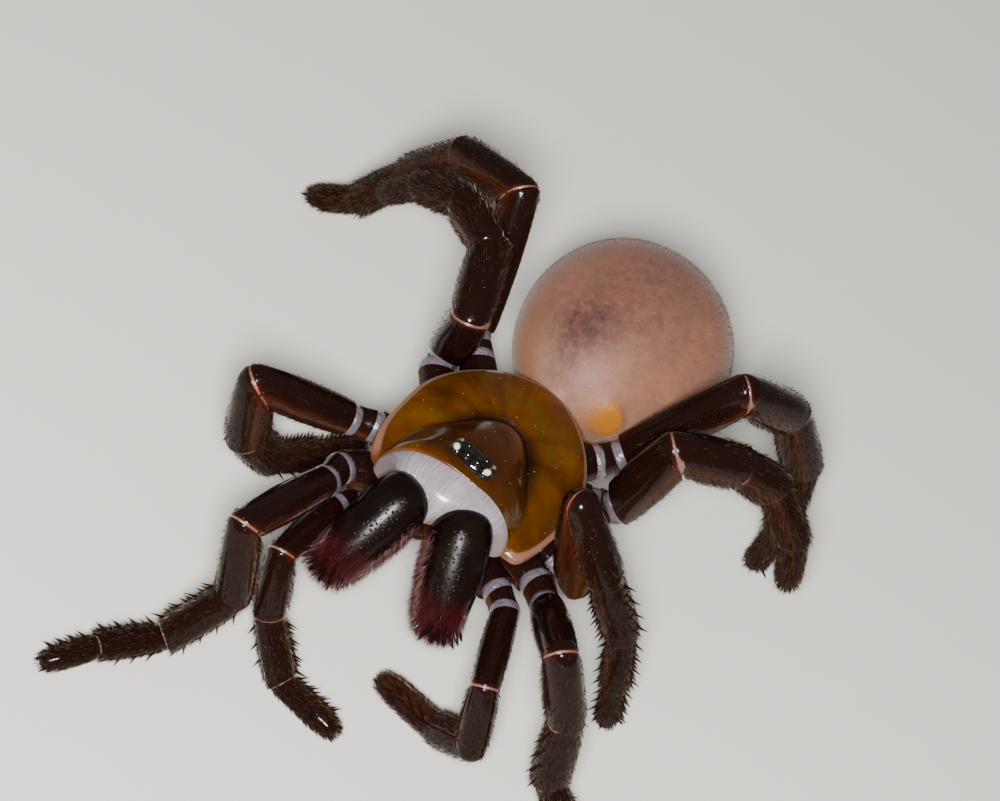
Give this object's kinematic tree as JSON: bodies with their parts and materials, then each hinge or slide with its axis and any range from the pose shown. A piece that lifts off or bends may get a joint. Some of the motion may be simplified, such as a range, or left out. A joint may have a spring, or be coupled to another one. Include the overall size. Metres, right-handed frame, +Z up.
{
  "type": "trapdoor spider",
  "caption": "Life-size still model of a trapdoor spider, standing with its legs drawn in: glossy round carapace, stout jaws and an egg-shaped abdomen.",
  "frame": {"origin": "on the floor, under the middle of the animal's whole outline seen from above", "axes": "+Z up, -Y the way the animal faces, +X its left"},
  "size_m": [0.0373, 0.0456, 0.0164],
  "materials": {
    "carapace cuticle": "glossy",
    "leg cuticle": "glossy",
    "bristly foot cuticle": "satin",
    "chelicera cuticle": "glossy",
    "soft membrane": "glossy",
    "abdomen skin": "matte",
    "eye lens": "polished"
  },
  "bodies": {
    "root": {"abdomen": "abdomen skin", "carapace": "carapace cuticle", "chelicera_left": "chelicera cuticle", "chelicera_right": "chelicera cuticle", "cheliceral_membrane": "soft membrane", "eyes": "eye lens", "fang_left": "chelicera cuticle", "fang_right": "chelicera cuticle", "left_leg_1_coxa": "leg cuticle", "left_leg_1_femur": "leg cuticle", "left_leg_1_foot": "bristly foot cuticle", "left_leg_1_patella": "leg cuticle", "left_leg_1_tibia": "leg cuticle", "left_leg_2_coxa": "leg cuticle", "left_leg_2_femur": "leg cuticle", "left_leg_2_foot": "bristly foot cuticle", "left_leg_2_patella": "leg cuticle", "left_leg_2_tibia": "leg cuticle", "left_leg_3_coxa": "leg cuticle", "left_leg_3_femur": "leg cuticle", "left_leg_3_foot": "bristly foot cuticle", "left_leg_3_patella": "leg cuticle", "left_leg_3_tibia": "leg cuticle", "left_leg_4_coxa": "leg cuticle", "left_leg_4_femur": "leg cuticle", "left_leg_4_foot": "bristly foot cuticle", "left_leg_4_patella": "leg cuticle", "left_leg_4_tibia": "leg cuticle", "left_palp_coxa": "leg cuticle", "left_palp_femur": "leg cuticle", "left_palp_foot": "bristly foot cuticle", "left_palp_patella": "leg cuticle", "pedicel": "abdomen skin", "right_leg_1_coxa": "leg cuticle", "right_leg_1_femur": "leg cuticle", "right_leg_1_foot": "bristly foot cuticle", "right_leg_1_patella": "leg cuticle", "right_leg_1_tibia": "leg cuticle", "right_leg_2_coxa": "leg cuticle", "right_leg_2_femur": "leg cuticle", "right_leg_2_foot": "bristly foot cuticle", "right_leg_2_patella": "leg cuticle", "right_leg_2_tibia": "leg cuticle", "right_leg_3_coxa": "leg cuticle", "right_leg_3_femur": "leg cuticle", "right_leg_3_foot": "bristly foot cuticle", "right_leg_3_patella": "leg cuticle", "right_leg_3_tibia": "leg cuticle", "right_leg_4_coxa": "leg cuticle", "right_leg_4_femur": "leg cuticle", "right_leg_4_foot": "bristly foot cuticle", "right_leg_4_patella": "leg cuticle", "right_leg_4_tibia": "leg cuticle", "right_palp_coxa": "leg cuticle", "right_palp_femur": "leg cuticle", "right_palp_foot": "bristly foot cuticle", "right_palp_patella": "leg cuticle", "spinnerets_left": "abdomen skin", "spinnerets_right": "abdomen skin", "sternum": "carapace cuticle"}
  },
  "joints": []
}
